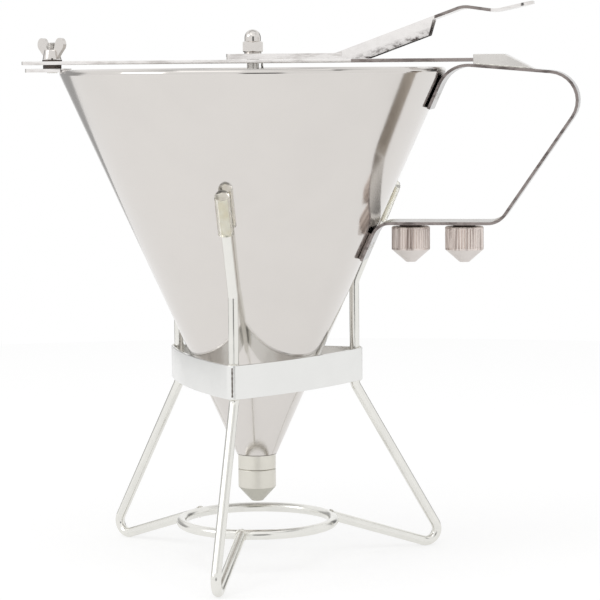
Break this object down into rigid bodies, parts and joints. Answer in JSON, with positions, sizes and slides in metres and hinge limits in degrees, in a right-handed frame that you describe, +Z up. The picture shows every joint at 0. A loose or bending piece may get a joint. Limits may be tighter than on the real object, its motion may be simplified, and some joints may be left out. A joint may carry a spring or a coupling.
{
  "type": "pancake batter dispenser",
  "caption": "Steel piston funnel with a strap handle, a thumb lever that lifts a valve rod, spare nozzles, and a three-legged wire stand.",
  "frame": {"origin": "on the floor under the funnel's axis, with the stand's feet at z = 0", "axes": "+Z up along the funnel's axis, +X towards the handle, and the stand's front foot near -Y"},
  "size_m": [0.2783, 0.1965, 0.2793],
  "materials": {
    "polished_cone": "polished stainless steel sheet",
    "polished_strip": "polished stainless steel strip with bright cut edges",
    "polished_nut": "polished nut",
    "satin_parts": "turned, satin",
    "knurled_nozzles": "turned and knurled, satin",
    "steel_parts": "turned stainless steel",
    "dark_fixings": "dark steel",
    "spring_wire": "drawn spring wire",
    "plated_wire": "bright plated wire",
    "vinyl": "clear amber vinyl"
  },
  "bodies": {
    "stand": {"stand_leg_front": "plated_wire", "stand_leg_right": "plated_wire", "stand_leg_left": "plated_wire", "stand_ring": "plated_wire", "stand_band": "polished_strip", "sleeve_front": "vinyl", "sleeve_right": "vinyl", "sleeve_left": "vinyl"},
    "funnel": {"funnel_cone": "polished_cone", "rim_wire": "steel_parts", "outlet_collar": "satin_parts", "handle": "polished_strip", "keeper_hood": "polished_strip", "spare_stub_a": "steel_parts", "spare_stub_b": "steel_parts", "rim_tab": "polished_strip", "clamp_stud": "steel_parts", "spacer_nut": "dark_fixings", "bridge_bar": "polished_strip", "clamp_washer": "dark_fixings", "closing_spring": "spring_wire"},
    "lever": {"thumb_lever": "polished_strip"},
    "plunger": {"valve_rod": "steel_parts", "cap_nut": "polished_nut", "rod_collar": "steel_parts", "valve_plug": "satin_parts"},
    "wing_nut": {"wing_nut": "polished_nut"},
    "fitted_nozzle": {"fitted_nozzle": "satin_parts"},
    "spare_nozzle_a": {"spare_nozzle_a": "knurled_nozzles"},
    "spare_nozzle_b": {"spare_nozzle_b": "knurled_nozzles"}
  },
  "joints": [
    {"name": "funnel_lift", "type": "slide", "parent": "stand", "child": "funnel", "axis": [0, 0, 1], "range_m": [0, 0.17]},
    {"name": "lever_press", "type": "hinge", "parent": "funnel", "child": "lever", "pos_m": [0.0582, 0, 0.2519], "axis": [0, 1, 0], "range_deg": [0, 12]},
    {"name": "plunger_lift", "type": "slide", "parent": "funnel", "child": "plunger", "axis": [0, 0, 1], "range_m": [0, 0.01336], "stiffness_N_per_m": 200, "springref_m": -0.01, "deforming": ["closing_spring"]},
    {"name": "wing_nut_turn", "type": "hinge", "parent": "funnel", "child": "wing_nut", "pos_m": [-0.1026, 0, 0.2527], "axis": [0, 0, 1], "continuous": true},
    {"name": "fitted_nozzle_turn", "type": "hinge", "parent": "funnel", "child": "fitted_nozzle", "pos_m": [0, 0, 0.0466], "axis": [0, 0, 1], "continuous": true},
    {"name": "spare_nozzle_a_turn", "type": "hinge", "parent": "funnel", "child": "spare_nozzle_a", "pos_m": [0.07857, 0, 0.16895], "axis": [0, 0, 1], "continuous": true},
    {"name": "spare_nozzle_b_turn", "type": "hinge", "parent": "funnel", "child": "spare_nozzle_b", "pos_m": [0.10517, 0, 0.16895], "axis": [0, 0, 1], "continuous": true}
  ],
  "couplings": [
    {"joint": "plunger_lift", "follows": "lever_press", "m_per_rad": 0.063726}
  ]
}
